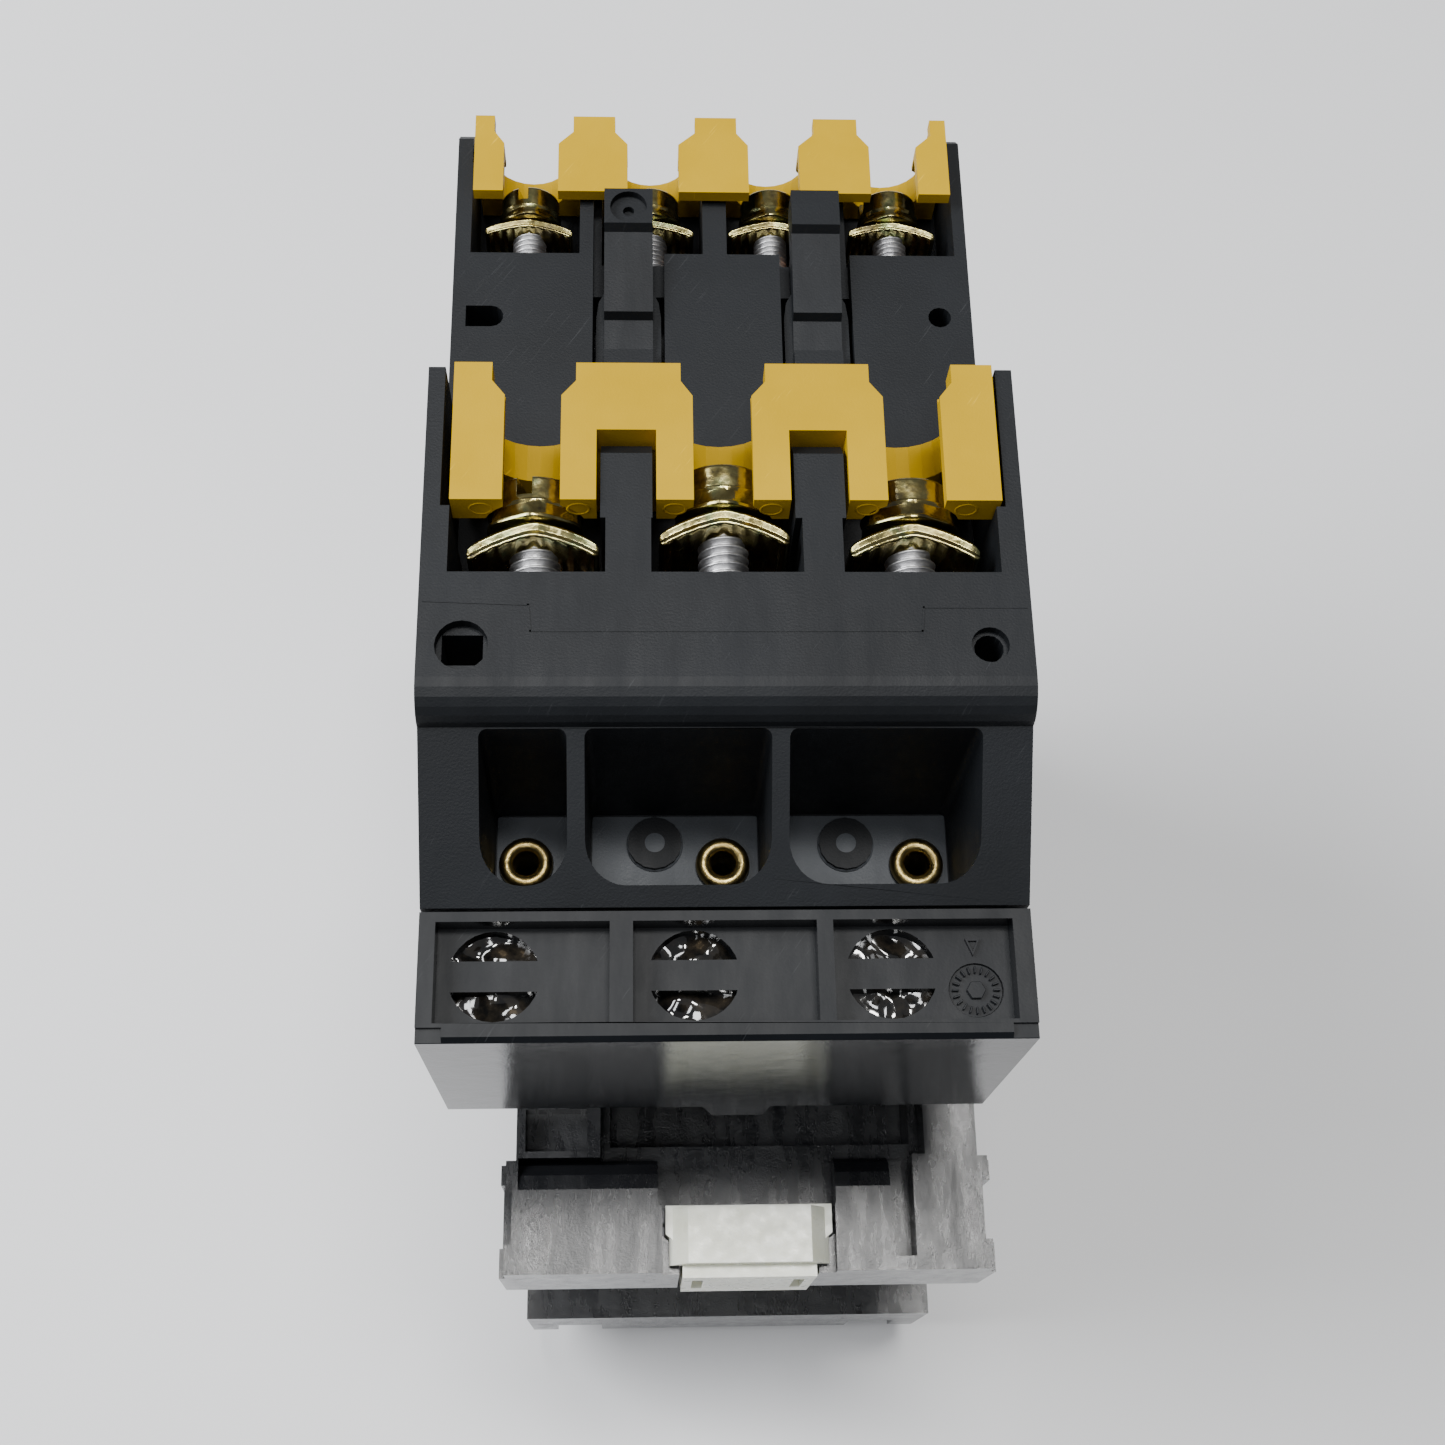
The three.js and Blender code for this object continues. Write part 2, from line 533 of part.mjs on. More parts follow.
// A length of a pillar seen from above: a flat with chamfered shoulders that narrows to its tab.
function pillarLength(pillar, body, y, z) {
  const [a, b] = pillar.x;
  const [c, d] = pillar.tab;
  const [back, tab] = y;
  const outline = [
    [a, back], [b, back], [b, body - 0.4], [d, body + 0.9],
    [d, tab], [c, tab], [c, body + 0.9], [a, body - 0.4],
  ];
  return prism('z', outline, z);
}

function pillarTop(pillar, size) {
  return pillarLength(pillar, size.body, [size.back, size.tab], [size.under, size.top]);
}

function mainGuard() {
  const { top, body, low } = MAIN_GUARD;
  const bar = block([-20.5, 20.9], [56.9, body], [low, top - 1]);
  let guard = join(bar, ...MAIN_PILLARS.map((pillar) => pillarTop(pillar, MAIN_GUARD)));
  const between = [[-16.6, -12.3], [-2.3, 2.2], [12.3, 16.7]];
  const slots = between.map((x) => block(x, [40, 70], [NEAR.screwZ, 130]));
  const bores = MAIN_X.map((x) => rod('y', [x, NEAR.screwZ], 4, [40, 70], 24));
  const notches = POSTS.map(([a, b]) => block([a - GAP, b + GAP], [40, 56.7], [90, 130]));
  guard = cut(guard, ...slots, ...bores, ...notches);
  return guard;
}

function auxGuard() {
  const { top, body, low, bar } = AUX_GUARD;
  const rail = block([-20.9, 21.1], bar, [low, FAR.screwZ]);
  const pillars = AUX_PILLARS.map((pillar) => join(
    pillarTop(pillar, AUX_GUARD),
    pillarLength(pillar, body, bar, [FAR.screwZ - 1, top - 0.6]),
  ));
  const between = [[-18.3, -13.5], [-7.4, -2.9], [3.3, 7.8], [14.1, 18.3]];
  const slots = between.map((x) => block(x, [80, 100], [FAR.screwZ, 130]));
  const bores = AUX_X.map((x) => rod('y', [x, FAR.screwZ], 3.4, [80, 100], 24));
  return cut(join(rail, ...pillars), ...slots, ...bores);
}

place(relay, 'main_guard', mainGuard(), YELLOW);
place(relay, 'aux_guard', auxGuard(), YELLOW);

// ---------------------------------------------------------------- relay: terminals

const MAIN_SCREW = { shank: 1.95, head: 3.5, tail: 37.5, seat: 50.9, top: 54.4 };
const MAIN_CLAMP = { half: 4.9, depth: 3.4, drop: 1.7, thickness: 1, seat: 50.6 };
const AUX_SCREW = {
  screw: { shank: 1.5, head: 2.7, tail: 80.6, seat: 87.7, top: 90.6 },
  clamp: { half: 3.9, depth: 2.2, drop: 1, thickness: 0.9 },
};

const MAIN_DRIVEN = [1.1, 0, 1.1]; // how much further in each screw is turned than the middle one

// The clamp keeps a running clearance round the screw that turns in it.
function mainClamp() {
  const { half, depth, drop, thickness, seat } = MAIN_CLAMP;
  const hole = rod('y', [0, 0], MAIN_SCREW.shank + GAP, [40, 60], 14);
  return cut(saddleClamp(half, depth, drop, thickness, seat), hole);
}

// One pole of the relay: terminal plate, bimetal strip and the pin that enters the contactor.
function heaterStrip(x, pinX) {
  const { back, front, top } = HEATER;
  const plate = block(around(x, 4.6), [back, front], [100.4, top]);
  const bimetal = block(around(x, 2.6), [back, front], [82, 101.4]);
  const low = Math.min(x - 2.6, pinX - 2.1);
  const high = Math.max(x + 2.6, pinX + 2.1);
  const link = block([low, high], [back, 51.8], [80.4, 82.4]);
  const pin = block(around(pinX, 2.1), [50.3, 51.8], [64.5, 81.4]);
  const fork = MAIN_SCREW.shank + 0.15;
  const hole = rod('y', [x, NEAR.screwZ], fork, [40, 60], 12);
  const mouth = block(around(x, fork), [40, 60], [NEAR.screwZ, 130]);
  const notch = block(around(pinX, 1.95), [50, 53], [60, BODY.high - TERMINAL_Z + 2]);
  return cut(join(plate, bimetal, link, pin), hole, mouth, notch);
}

MAIN_X.forEach((x, index) => {
  const { shank, head, tail, seat, top } = MAIN_SCREW;
  const at = [x, -MAIN_DRIVEN[index], NEAR.screwZ];
  place(relay, `main_screw_${index + 1}`, slottedScrew(shank, head, tail, seat, top), ZINC, at);
  place(relay, `main_clamp_${index + 1}`, mainClamp(), ZINC, at);
  place(relay, `heater_strip_${index + 1}`, heaterStrip(x, CONTACTOR_X + POLES[index]), COPPER);
});

// The strip of one switch: a plate behind each of its two screws and the link between them.
function auxStrip(ends) {
  const fork = AUX_SCREW.screw.shank + 0.15;
  const plates = ends.map((x) => cut(
    block(around(x, 3.6), AUX_STRIP, [96.6, 102.3]),
    rod('y', [x, FAR.screwZ], fork, [80, 86], 12),
    block(around(x, fork), [80, 86], [FAR.screwZ, 110]),
  ));
  const link = block([ends[0] - 1, ends[1] + 1], AUX_STRIP, [96.6, 97.9]);
  return join(...plates, link);
}

place(relay, 'nc_contact_strip', auxStrip(AUX_PAIRS[0]), COPPER);
place(relay, 'no_contact_strip', auxStrip(AUX_PAIRS[1]), COPPER);

AUX_X.forEach((x, index) => {
  place(relay, `aux_screw_${index + 1}`, clampScrew(AUX_SCREW), ZINC, [x, 0, FAR.screwZ]);
});

EYELETS.forEach(([x, y], index) => {
  const floor = SLOPE_POCKET.floor + 0.1;
  const flange = rod('z', [0, 0], 2.2, [floor, floor + 1], 24);
  const barrel = rod('z', [0, 0], 1.5, [floor - 6, floor + 0.5], 24);
  const bore = rod('z', [0, 0], 0.95, [80, 110], 16);
  place(relay, `eyelet_${index + 1}`, cut(join(flange, barrel), bore), BRASS, [x, y, 0]);
});

// ---------------------------------------------------------------- relay: snap hooks, buttons, dial, trip bar

function snapHook() {
  const { half, root, low, step, lip } = HOOK;
  const top = RELAY.deck;
  const arm = prism('x', [
    [root, low], [step - 0.8, low], [step, lip], [82.4, lip], [82.8, 103.8], [87.6, 103.8], [87.6, 107.2],
    [84, 107.2], [83.6, 106.4], [76, 105.6], [75.7, top], [72, top - 0.4], [root, top - 0.4],
  ], [-half, half]);
  const wide = half + 0.7;
  const right = [[wide, root], [wide, 76.4], [half + 0.5, 78], [half, 79]];
  const shoulder = prism('z', mirrored(right), [low + 0.5, top - 0.7]);
  const rib = block(around(0, half), [71, 72.6], [lip, top + 0.3]);
  return join(arm, shoulder, rib);
}

// The left hook carries a blind moulding recess in its head.
function markedSnapHook() {
  const head = [0, 85.7];
  return cut(snapHook(), rod('z', head, 1.6, [106.5, 108], 24), rod('z', head, 0.5, [105.9, 108], 12));
}

place(relay, 'snap_hook_1', markedSnapHook(), BLACK, [HOOK_X[0], 0, 0]);
place(relay, 'snap_hook_2', snapHook(), BLACK, [HOOK_X[1], 0, 0]);

function pushButton(radius, out) {
  const stem = rod('y', [0, 0], radius, [90, out - 0.5], 24);
  return join(stem, rod('y', [0, 0], radius - 0.5, [out - 1, out], 24));
}

function currentDial(radius) {
  const face = rod('y', [0, 0], radius, [90, RELAY.front + 0.6], 28);
  const slot = block([-0.6, 0.6], [RELAY.front - 0.8, 100], [-radius * 0.7, radius * 0.7]);
  const pointer = [[-1.2, radius * 0.5], [1.2, radius * 0.5], [0, radius * 0.9]];
  const arrow = prism('y', pointer, [RELAY.front - 0.4, 100]);
  return cut(face, slot, arrow);
}

function tripBar() {
  const bar = block([-18, 15.5], [52.6, 54.6], [84.5, 88]);
  const fingers = MAIN_X.map((x) => block(around(x, 0.7), [HEATER.front + 2.3, 53], [84.5, 88]));
  return join(bar, ...fingers);
}

const [stopX, stopZ, stopR] = BUTTON.stop;
const [resetX, resetZ, resetR] = BUTTON.reset;
const [dialX, dialZ, dialR] = BUTTON.dial;
place(relay, 'stop_button', pushButton(stopR, RELAY.front + 1.7), RED, [stopX, 0, stopZ]);
place(relay, 'reset_button', pushButton(resetR, RELAY.front + 1.7), BLUE, [resetX, 0, resetZ]);
place(relay, 'current_dial', currentDial(dialR), GREY, [dialX, 0, dialZ]);
place(relay, 'trip_bar', tripBar(), NYLON);

// ---------------------------------------------------------------- origin

// The footprint of the whole device: the left side is the relay's, the right the contactor's.
const footprint = {
  x: [-HALF, CONTACTOR_X + HALF],
  y: [LATCH.back, RELAY.front + 1.7],
};
const middleOf = ([low, high]) => (low + high) / 2;
device.position.set(-middleOf(footprint.x), -middleOf(footprint.y), 0);

export default device;
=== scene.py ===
"""Looks of the contactor with its plug-on overload relay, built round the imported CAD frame.

Everything is in metres in the frame's own axes: +Z up, +Y towards the front of the device.
"""
import json
import math

import bmesh
import bpy
from mathutils import Matrix, Vector, noise


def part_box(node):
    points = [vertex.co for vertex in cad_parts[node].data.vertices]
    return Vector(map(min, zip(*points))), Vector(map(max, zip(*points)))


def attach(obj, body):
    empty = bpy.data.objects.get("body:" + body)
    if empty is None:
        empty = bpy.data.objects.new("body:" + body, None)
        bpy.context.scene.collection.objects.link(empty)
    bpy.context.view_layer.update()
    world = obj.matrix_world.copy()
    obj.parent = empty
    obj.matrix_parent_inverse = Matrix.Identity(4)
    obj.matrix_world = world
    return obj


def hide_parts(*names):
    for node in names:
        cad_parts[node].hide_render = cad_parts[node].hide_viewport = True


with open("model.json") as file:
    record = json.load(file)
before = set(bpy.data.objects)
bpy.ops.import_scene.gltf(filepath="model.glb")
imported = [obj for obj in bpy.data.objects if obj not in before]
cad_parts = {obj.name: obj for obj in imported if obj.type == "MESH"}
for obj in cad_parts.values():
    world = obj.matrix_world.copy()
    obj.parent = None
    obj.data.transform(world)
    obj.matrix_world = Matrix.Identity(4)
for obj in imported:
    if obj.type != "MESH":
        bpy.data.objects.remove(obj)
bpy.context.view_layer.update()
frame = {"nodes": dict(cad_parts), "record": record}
nodes = frame["nodes"]
slot_of = {s["node"]: s["material_slot"] for s in frame["record"]["subparts"]}

MM = 0.001
POLES = (1, 2, 3, 4)
MAIN = (1, 2, 3)


def middle(node):
    """The centre of a CAD node's box."""
    low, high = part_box(node)
    return (low + high) / 2


RELAY_X = middle("relay_housing").x
RAIL_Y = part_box("rail_base")[0].y


def at(x, y, z):
    """A point in the design's millimetres: x from the relay's middle plane, y from the rail side."""
    return Vector((RELAY_X + x * MM, RAIL_Y + y * MM, z * MM))


# ------------------------------------------------------------------ camera, light and floor

def make_camera():
    data = bpy.data.cameras.new("Camera")
    data.sensor_width = 36
    data.lens = 47.1
    data.clip_start = 0.01
    camera = bpy.data.objects.new("Camera", data)
    right = Vector((0.9991, -0.0177, 0.0382)).normalized()
    forward = Vector((0.0421, 0.3743, -0.9263)).normalized()
    up = right.cross(forward).normalized()
    right = forward.cross(up)
    turn = Matrix((right, up, -forward)).transposed().to_4x4()
    camera.matrix_world = Matrix.Translation(at(-6.15, -17.6, 243.0)) @ turn
    bpy.context.scene.collection.objects.link(camera)
    bpy.context.scene.camera = camera


def area_light(name, place, target, size, power, colour):
    data = bpy.data.lights.new(name, "AREA")
    data.shape = "RECTANGLE"
    data.size, data.size_y = size
    data.energy = power
    data.color = colour
    light = bpy.data.objects.new(name, data)
    light.location = place
    light.rotation_euler = (Vector(target) - Vector(place)).to_track_quat("-Z", "Y").to_euler()
    bpy.context.scene.collection.objects.link(light)


def make_stage():
    world = bpy.data.worlds.new("Room")
    bpy.context.scene.world = world
    world.use_nodes = True
    background = world.node_tree.nodes["Background"]
    background.inputs["Color"].default_value = (0.93, 0.95, 1.0, 1)
    background.inputs["Strength"].default_value = 0.16
    area_light("Ceiling_panel", (0.08, 0.21, 1.6), (0.0, 0.0, 0.08), (0.55, 0.20), 18, (1.0, 0.99, 0.97))
    area_light("Rear_fill", (-0.05, -0.45, 1.5), (0.0, 0.0, 0.08), (0.35, 0.35), 5, (0.98, 0.99, 1.0))
    area_light("Left_fill", (-0.55, 0.10, 0.60), (0.0, 0.0, 0.03), (0.45, 0.45), 9.5, (0.97, 0.98, 1.0))
    bpy.ops.mesh.primitive_plane_add(size=4, location=(0, 0, 0))
    floor = bpy.context.object
    floor.name = "Floor"
    material, tree, shader, millimetres = graph("Floor_paper")
    stops = [(0.3, (0.70, 0.705, 0.72)), (0.7, (0.76, 0.762, 0.77))]
    tint = ramp(tree, cloud(tree, millimetres, 0.006, 3), stops)
    tree.links.new(tint, shader.inputs["Base Color"])
    shader.inputs["Roughness"].default_value = 0.6
    bump(tree, shader, [(cloud(tree, millimetres, 1.5, 3), 0.05)])
    floor.data.materials.append(material)


# ------------------------------------------------------------------ material helpers

def graph(name):
    """A new material: (material, tree, shader, object coordinates in millimetres)."""
    material = bpy.data.materials.new(name)
    material.use_nodes = True
    tree = material.node_tree
    coordinates = tree.nodes.new("ShaderNodeTexCoord")
    scale = tree.nodes.new("ShaderNodeVectorMath")
    scale.operation = "SCALE"
    scale.inputs["Scale"].default_value = 1000
    tree.links.new(coordinates.outputs["Object"], scale.inputs[0])
    return material, tree, tree.nodes["Principled BSDF"], scale.outputs[0]


def stretched(tree, vector, factors):
    """Coordinates scaled by a different factor along each axis."""
    node = tree.nodes.new("ShaderNodeVectorMath")
    node.operation = "MULTIPLY"
    node.inputs[1].default_value = factors
    tree.links.new(vector, node.inputs[0])
    return node.outputs[0]


def cloud(tree, vector, scale, detail=2, rough=0.5, distortion=0.0):
    node = tree.nodes.new("ShaderNodeTexNoise")
    node.inputs["Scale"].default_value = scale
    node.inputs["Detail"].default_value = detail
    node.inputs["Roughness"].default_value = rough
    node.inputs["Distortion"].default_value = distortion
    tree.links.new(vector, node.inputs["Vector"])
    return node.outputs["Fac"]


def ramp(tree, value, stops):
    node = tree.nodes.new("ShaderNodeValToRGB")
    band = node.color_ramp
    while len(band.elements) < len(stops):
        band.elements.new(0.5)
    for element, (position, colour) in zip(band.elements, stops):
        element.position = position
        element.color = (*colour, 1)
    tree.links.new(value, node.inputs["Fac"])
    return node.outputs["Color"]


def spread(tree, value, low, high, start=0.3, end=0.7):
    """Maps a noise value onto low to high."""
    node = tree.nodes.new("ShaderNodeMapRange")
    for name, number in (("From Min", start), ("From Max", end), ("To Min", low), ("To Max", high)):
        node.inputs[name].default_value = number
    tree.links.new(value, node.inputs["Value"])
    return node.outputs["Result"]


def blended(tree, factor, first, second):
    """Colour first where factor is 0, colour second where it is 1."""
    node = tree.nodes.new("ShaderNodeMix")
    node.data_type = "RGBA"
    tree.links.new(factor, node.inputs["Factor"])
    for socket, colour in ((node.inputs[6], first), (node.inputs[7], second)):
        if isinstance(colour, tuple):
            socket.default_value = (*colour, 1)
        else:
            tree.links.new(colour, socket)
    return node.outputs[2]


def bump(tree, shader, layers):
    """A chain of bump nodes from (height, strength) layers, each a tenth of a millimetre deep."""
    normal = None
    for height, strength in layers:
        node = tree.nodes.new("ShaderNodeBump")
        node.inputs["Strength"].default_value = strength
        node.inputs["Distance"].default_value = 0.1 * MM
        tree.links.new(height, node.inputs["Height"])
        if normal is not None:
            tree.links.new(normal, node.inputs["Normal"])
        normal = node.outputs["Normal"]
    tree.links.new(normal, shader.inputs["Normal"])


# ------------------------------------------------------------------ materials

def scratches(tree, mm, turn, amount):
    """Fine parallel scratches that come and go in patches, as a 0 to amount mask."""
    rotate = tree.nodes.new("ShaderNodeVectorRotate")
    rotate.inputs["Angle"].default_value = math.radians(turn)
    tree.links.new(mm, rotate.inputs["Vector"])
    streaks = cloud(tree, stretched(tree, rotate.outputs[0], (7.0, 0.18, 0.5)), 1.0, 3, 0.7)
    lines = spread(tree, streaks, 0.0, 1.0, 0.63, 0.70)
    patches = spread(tree, cloud(tree, mm, 0.16, 2), 0.0, amount, 0.52, 0.62)
    both = tree.nodes.new("ShaderNodeMath")
    both.operation = "MULTIPLY"
    tree.links.new(lines, both.inputs[0])
    tree.links.new(patches, both.inputs[1])
    return both.outputs[0]


def moulded(name, dark, light, rough, grain=0.25, waves=0.1, specks=0.5, specular=0.5, polish=None):
    """Injection-moulded plastic: spark-eroded grain, slow colour drift, dust, scuffs and handling marks.
    polish is a roughness range for all but the level faces, where the mould was polished."""
    material, tree, shader, mm = graph(name)
    drift = cloud(tree, mm, 0.09, 4, 0.6)
    colour = ramp(tree, drift, [(0.32, dark), (0.68, light)])
    dust = spread(tree, cloud(tree, mm, 2.6, 6, 0.75), 0.0, specks, 0.66, 0.76)
    pale = tuple(min(1.0, c * 1.8 + 0.03) for c in light)
    dusty = blended(tree, dust, colour, pale)
    worn = blended(tree, scratches(tree, mm, 35, 0.5), dusty, pale)
    tree.links.new(worn, shader.inputs["Base Color"])
    smear = cloud(tree, stretched(tree, mm, (0.5, 0.12, 0.3)), 1.0, 5, 0.65)
    roughness = spread(tree, smear, rough[0], rough[1])
    if polish:
        geometry = tree.nodes.new("ShaderNodeNewGeometry")
        split = tree.nodes.new("ShaderNodeSeparateXYZ")
        tree.links.new(geometry.outputs["Normal"], split.inputs[0])
        walls = spread(tree, split.outputs["Z"], 1.0, 0.0, 0.93, 0.99)
        mix = tree.nodes.new("ShaderNodeMix")
        tree.links.new(walls, mix.inputs["Factor"])
        tree.links.new(roughness, mix.inputs["A"])
        tree.links.new(spread(tree, smear, polish[0], polish[1]), mix.inputs["B"])
        roughness = mix.outputs["Result"]
    tree.links.new(roughness, shader.inputs["Roughness"])
    shader.inputs["Specular IOR Level"].default_value = specular
    bump(tree, shader, [(cloud(tree, mm, 0.5, 3), waves), (cloud(tree, mm, 5.5, 3, 0.6), grain)])
    return material


def nylon_material():
    material, tree, shader, mm = graph("Nylon_natural")
    colour = ramp(tree, cloud(tree, mm, 0.25, 4, 0.6), [(0.3, (0.60, 0.61, 0.50)), (0.7, (0.76, 0.77, 0.67))])
    tree.links.new(colour, shader.inputs["Base Color"])
    tree.links.new(spread(tree, cloud(tree, mm, 0.9, 4), 0.22, 0.42), shader.inputs["Roughness"])
    shader.inputs["Subsurface Weight"].default_value = 0.35
    shader.inputs["Subsurface Radius"].default_value = (1.6 * MM, 1.5 * MM, 1.1 * MM)
    shader.inputs["Subsurface Scale"].default_value = 1.0
    bump(tree, shader, [(cloud(tree, mm, 0.6, 4, 0.6), 0.35), (cloud(tree, mm, 6, 2), 0.1)])
    return material


def plated_material():
    """Yellow-passivated zinc: patches of gold, green and rose over rough-struck steel."""
    material, tree, shader, mm = graph("Zinc_yellow")
    film = cloud(tree, mm, 0.33, 4, 0.6, 0.8)
    tint = ramp(tree, film, [(0.28, (0.16, 0.14, 0.10)),
                             (0.42, (0.33, 0.27, 0.10)),
                             (0.53, (0.46, 0.41, 0.18)),
                             (0.63, (0.24, 0.28, 0.13)),
                             (0.74, (0.36, 0.25, 0.16))])
    soot = spread(tree, cloud(tree, mm, 1.1, 5, 0.7), 0.0, 0.75, 0.56, 0.70)
    tree.links.new(blended(tree, soot, tint, (0.12, 0.10, 0.07)), shader.inputs["Base Color"])
    shader.inputs["Metallic"].default_value = 1.0
    tree.links.new(spread(tree, cloud(tree, mm, 0.8, 4), 0.14, 0.28), shader.inputs["Roughness"])
    bump(tree, shader, [(cloud(tree, mm, 0.7, 2), 0.8), (cloud(tree, mm, 5, 3), 0.08)])
    return material


def metal(name, dark, light, rough, grain=0.2, brushed=(1, 1, 1)):
    material, tree, shader, mm = graph(name)
    along = stretched(tree, mm, brushed)
    colour = ramp(tree, cloud(tree, mm, 0.5, 5, 0.65), [(0.3, dark), (0.7, light)])
    stain = spread(tree, cloud(tree, mm, 1.4, 5, 0.7), 0.0, 0.6, 0.58, 0.72)
    tree.links.new(blended(tree, stain, colour, tuple(c * 0.35 for c in dark)), shader.inputs["Base Color"])
    shader.inputs["Metallic"].default_value = 1.0
    tree.links.new(spread(tree, cloud(tree, along, 1.2, 4), rough[0], rough[1]), shader.inputs["Roughness"])
    bump(tree, shader, [(cloud(tree, along, 3, 4), grain)])
    return material


def compound_material():
    """Dark sealing compound, cured glossy and lumpy."""
    material, tree, shader, mm = graph("Sealing_compound")
    stops = [(0.40, (0.005, 0.005, 0.005)), (0.62, (0.022, 0.018, 0.013)), (0.76, (0.10, 0.075, 0.045))]
    tint = ramp(tree, cloud(tree, mm, 0.7, 4, 0.6), stops)
    tree.links.new(tint, shader.inputs["Base Color"])
    shader.inputs["Roughness"].default_value = 0.10
    shader.inputs["Specular IOR Level"].default_value = 0.9
    shader.inputs["Coat Weight"].default_value = 1.0
    shader.inputs["Coat Roughness"].default_value = 0.03
    bump(tree, shader, [(cloud(tree, mm, 0.55, 1, 0.4, 0.4), 0.30)])
    return material


def winding_material():
    """Enamelled wire in close layers round the bobbin; its colour is darker in the grooves between turns as
    painted shade.
    """
    material, tree, shader, mm = graph("Enamelled_wire")
    wave = tree.nodes.new("ShaderNodeTexWave")
    wave.bands_direction = "Y"
    wave.inputs["Scale"].default_value = 1.1
    wave.inputs["Distortion"].default_value = 0.4
    tree.links.new(mm, wave.inputs["Vector"])
    # Painted shade: the colour follows the bump's waves, dark in the grooves between turns and light on their
    # crowns.
    tint = ramp(tree, wave.outputs["Fac"], [(0.1, (0.16, 0.05, 0.02)), (0.7, (0.55, 0.22, 0.10))])
    tree.links.new(tint, shader.inputs["Base Color"])
    shader.inputs["Metallic"].default_value = 0.8
    tree.links.new(spread(tree, cloud(tree, mm, 1.0), 0.25, 0.4), shader.inputs["Roughness"])
    bump(tree, shader, [(wave.outputs["Fac"], 0.9)])
    return material


MATERIALS = {
    "black_plastic": moulded("Black_satin", (0.0045, 0.0055, 0.0070), (0.0070, 0.0084, 0.0105), (0.50, 0.62),
                             grain=0.26, waves=0.08, specks=0.40, specular=0.26),
    "black_gloss": moulded("Black_gloss", (0.0040, 0.0048, 0.0062), (0.0062, 0.0074, 0.0092), (0.50, 0.60),
                           grain=0.12, waves=0.20, specks=0.40, specular=0.28, polish=(0.06, 0.13)),
    "base_gloss": moulded("Base_gloss", (0.005, 0.0055, 0.0065), (0.010, 0.0105, 0.012), (0.16, 0.42),
                          grain=0.30, waves=0.5, specks=0.5, specular=0.6, polish=(0.12, 0.3)),
    # Painted light: the pocket floors and their bosses are black plastic painted a lighter grey, which stands
    # in for the sheen and light they catch.
    "pocket_floor": moulded("Pocket_floor", (0.062, 0.068, 0.076), (0.085, 0.092, 0.102), (0.36, 0.50),
                            grain=0.25, waves=0.4, specks=0.6, specular=0.15),
    "yellow_plastic": moulded("Yellow_guard", (0.44, 0.270, 0.001), (0.50, 0.312, 0.004), (0.42, 0.58),
                              grain=0.14, waves=0.08, specks=0.10, specular=0.12),
    "nylon": nylon_material(),
    "red_plastic": moulded("Red_button", (0.42, 0.03, 0.04), (0.52, 0.05, 0.06), (0.32, 0.45),
                           grain=0.12, waves=0.05, specks=0.1),
    "blue_plastic": moulded("Blue_button", (0.02, 0.08, 0.26), (0.03, 0.11, 0.33), (0.32, 0.45),
                            grain=0.12, waves=0.05, specks=0.1),
    "grey_plastic": moulded("Grey_dial", (0.22, 0.23, 0.24), (0.29, 0.30, 0.31), (0.4, 0.5),
                            grain=0.15, waves=0.05, specks=0.1),
    "zinc_plate": plated_material(),
    "zinc_grey": metal("Zinc_grey", (0.42, 0.42, 0.43), (0.66, 0.66, 0.67), (0.36, 0.52), 0.3),
    "brass": metal("Brass_worn", (0.20, 0.14, 0.05), (0.42, 0.33, 0.13), (0.26, 0.40), 0.3),
    "copper_alloy": metal("Copper_strip", (0.45, 0.24, 0.14), (0.60, 0.34, 0.21), (0.25, 0.4), 0.2,
                          brushed=(1, 1, 0.2)),
    "core_steel": metal("Core_steel", (0.20, 0.21, 0.22), (0.33, 0.34, 0.35), (0.3, 0.5), 0.5,
                        brushed=(0.3, 0.3, 8)),
    "compound": compound_material(),
    "winding": winding_material(),
}

make_camera()
make_stage()


# ------------------------------------------------------------------ mesh helpers

def piece(name, vertices, faces, material, body, slot, smooth=True):
    """A new visible piece that rides on a body and takes its finish from material; slot is not used."""
    mesh = bpy.data.meshes.new(name)
    mesh.from_pydata([tuple(v) for v in vertices], [], faces)
    mesh.validate()
    mesh.polygons.foreach_set("use_smooth", [smooth] * len(mesh.polygons))
    fixed = bmesh.new()
    fixed.from_mesh(mesh)
    bmesh.ops.recalc_face_normals(fixed, faces=fixed.faces)
    fixed.to_mesh(mesh)
    fixed.free()
    mesh.materials.append(MATERIALS[material])
    made = bpy.data.objects.new(name, mesh)
    bpy.context.scene.collection.objects.link(made)
    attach(made, body)
    return made


def soften(made, width, segments=2, angle=32, flatten=True):
    """Rounds every real edge: merges flat facets, bevels, and keeps the flats flat in shading."""
    if flatten:
        merge = made.modifiers.new("Flats", "DECIMATE")
        merge.decimate_type = "DISSOLVE"
        merge.angle_limit = math.radians(0.6)
    bevel = made.modifiers.new("Edges", "BEVEL")
    bevel.width = width * MM
    bevel.segments = segments
    bevel.limit_method = "ANGLE"
    bevel.angle_limit = math.radians(angle)
    bevel.miter_outer = "MITER_ARC"
    made.modifiers.new("Shading", "WEIGHTED_NORMAL").keep_sharp = True
    return made


def ring_faces(count, sides, closed=False):
    """Quads between rings of vertices laid out ring after ring."""
    faces = []
    last = count if closed else count - 1
    for row in range(last):
        a, b = row * sides, (row + 1) % count * sides
        faces += [(a + i, a + (i + 1) % sides, b + (i + 1) % sides, b + i) for i in range(sides)]
    return faces


